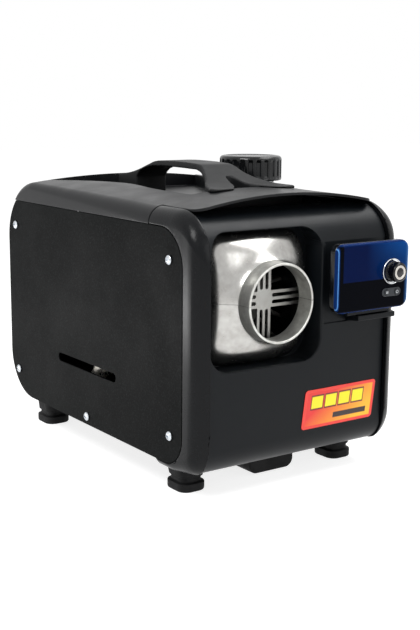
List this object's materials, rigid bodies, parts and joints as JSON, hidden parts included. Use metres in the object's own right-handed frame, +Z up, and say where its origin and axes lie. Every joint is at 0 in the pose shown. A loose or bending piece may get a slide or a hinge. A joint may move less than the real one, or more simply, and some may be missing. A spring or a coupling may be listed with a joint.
{
  "type": "portable diesel air heater",
  "caption": "Boxy portable air heater with a round hot-air outlet, finned burner core, fuel tank under a fluted screw cap, splayed carry handle, side vent slots and a display with a push knob",
  "frame": {"origin": "centre of the bounding box, on the floor under the feet", "axes": "+Z up; the hot-air outlet and the controller face -Y; +X is to the right of someone who looks at that front"},
  "size_m": [0.2474, 0.4118, 0.305],
  "materials": {
    "moulding_gloss": "semi-gloss moulded black, soft grey highlights",
    "moulding_satin": "satin moulded black",
    "powder_coat": "fine-textured matte black powder coat on sheet steel",
    "rubber": "matte black rubber",
    "cast_aluminium": "bright satin casting",
    "steel": "plain stainless steel",
    "zinc": "bright zinc plate",
    "tank_white": "milky translucent polyethylene",
    "blue_glass": "glossy dark blue window on black",
    "chrome": "polished chrome plate",
    "grey_pad": "satin grey",
    "board": "green circuit board",
    "label": "printed film, red frame round a red to yellow field, no words"
  },
  "bodies": {
    "case": {"front_bezel": "moulding_gloss", "top_cover": "moulding_gloss", "controller_case": "moulding_gloss", "power_inlet": "moulding_gloss", "front_panel": "moulding_satin", "rear_cover": "moulding_satin", "rear_intake_grille": "moulding_satin", "carry_handle": "moulding_satin", "heater_shell_upper": "moulding_satin", "heater_shell_lower": "moulding_satin", "controller_bracket": "moulding_satin", "side_panel_left": "powder_coat", "side_panel_right": "powder_coat", "base_tray": "powder_coat", "core_bracket": "powder_coat", "foot_front_left": "rubber", "foot_front_right": "rubber", "foot_rear_left": "rubber", "foot_rear_right": "rubber", "centre_skid": "rubber", "fuel_hose_tank": "rubber", "fuel_hose_pump": "rubber", "burner_fuel_line": "rubber", "combustion_intake_pipe": "rubber", "outlet_hood_upper": "cast_aluminium", "outlet_hood_lower": "cast_aluminium", "heat_exchanger": "cast_aluminium", "outlet_guard": "steel", "burner_tube": "steel", "glow_plug": "steel", "motor": "steel", "exhaust_pipe": "steel", "fuel_pump": "steel", "panel_screw_left_1": "zinc", "panel_screw_left_2": "zinc", "panel_screw_left_3": "zinc", "panel_screw_left_4": "zinc", "panel_screw_left_5": "zinc", "panel_screw_right_1": "zinc", "panel_screw_right_2": "zinc", "panel_screw_right_3": "zinc", "panel_screw_right_4": "zinc", "panel_screw_right_5": "zinc", "fuel_tank": "tank_white", "fuel_filter": "tank_white", "controller_face": "blue_glass", "knob_ring": "chrome", "button_plate": "grey_pad", "control_board": "board", "label_plate": "label"},
    "cap_lift": {"cap_seal": "rubber"},
    "cap": {"fuel_cap": "moulding_satin"},
    "knob_stem": {"knob_shaft": "steel"},
    "knob": {"knob": "chrome"},
    "button_left": {"button_menu": "grey_pad"},
    "button_right": {"button_power": "grey_pad"},
    "rotor": {"motor_shaft": "steel", "main_fan": "moulding_satin", "combustion_impeller": "cast_aluminium"},
    "plunger": {"pump_plunger": "steel"}
  },
  "joints": [
    {"name": "cap_lift_slide", "type": "slide", "parent": "case", "child": "cap_lift", "axis": [0, 0, 1], "range_m": [0, 0.0051]},
    {"name": "cap_turn", "type": "hinge", "parent": "cap_lift", "child": "cap", "pos_m": [0.0657, 0.0022, 0.29], "axis": [0, 0, 1], "range_deg": [0, 450]},
    {"name": "knob_push", "type": "slide", "parent": "case", "child": "knob_stem", "axis": [0, 1, 0], "range_m": [0, 0.0008], "stiffness_N_per_m": 800, "springref_m": -0.001},
    {"name": "knob_turn", "type": "hinge", "parent": "knob_stem", "child": "knob", "pos_m": [0.0867, -0.1978, 0.2045], "axis": [0, 1, 0], "continuous": true},
    {"name": "button_left_push", "type": "slide", "parent": "case", "child": "button_left", "axis": [0, 1, 0], "range_m": [0, 0.0006], "stiffness_N_per_m": 400, "springref_m": -0.001},
    {"name": "button_right_push", "type": "slide", "parent": "case", "child": "button_right", "axis": [0, 1, 0], "range_m": [0, 0.0006], "stiffness_N_per_m": 400, "springref_m": -0.001},
    {"name": "rotor_spin", "type": "hinge", "parent": "case", "child": "rotor", "pos_m": [-0.0393, 0.0742, 0.184], "axis": [0, 1, 0], "continuous": true},
    {"name": "plunger_slide", "type": "slide", "parent": "case", "child": "plunger", "axis": [0, 1, 0], "range_m": [0, 0.003], "stiffness_N_per_m": 300, "springref_m": -0.002}
  ],
  "couplings": [
    {"joint": "cap_lift_slide", "follows": "cap_turn", "m_per_rad": 0.00063662}
  ]
}
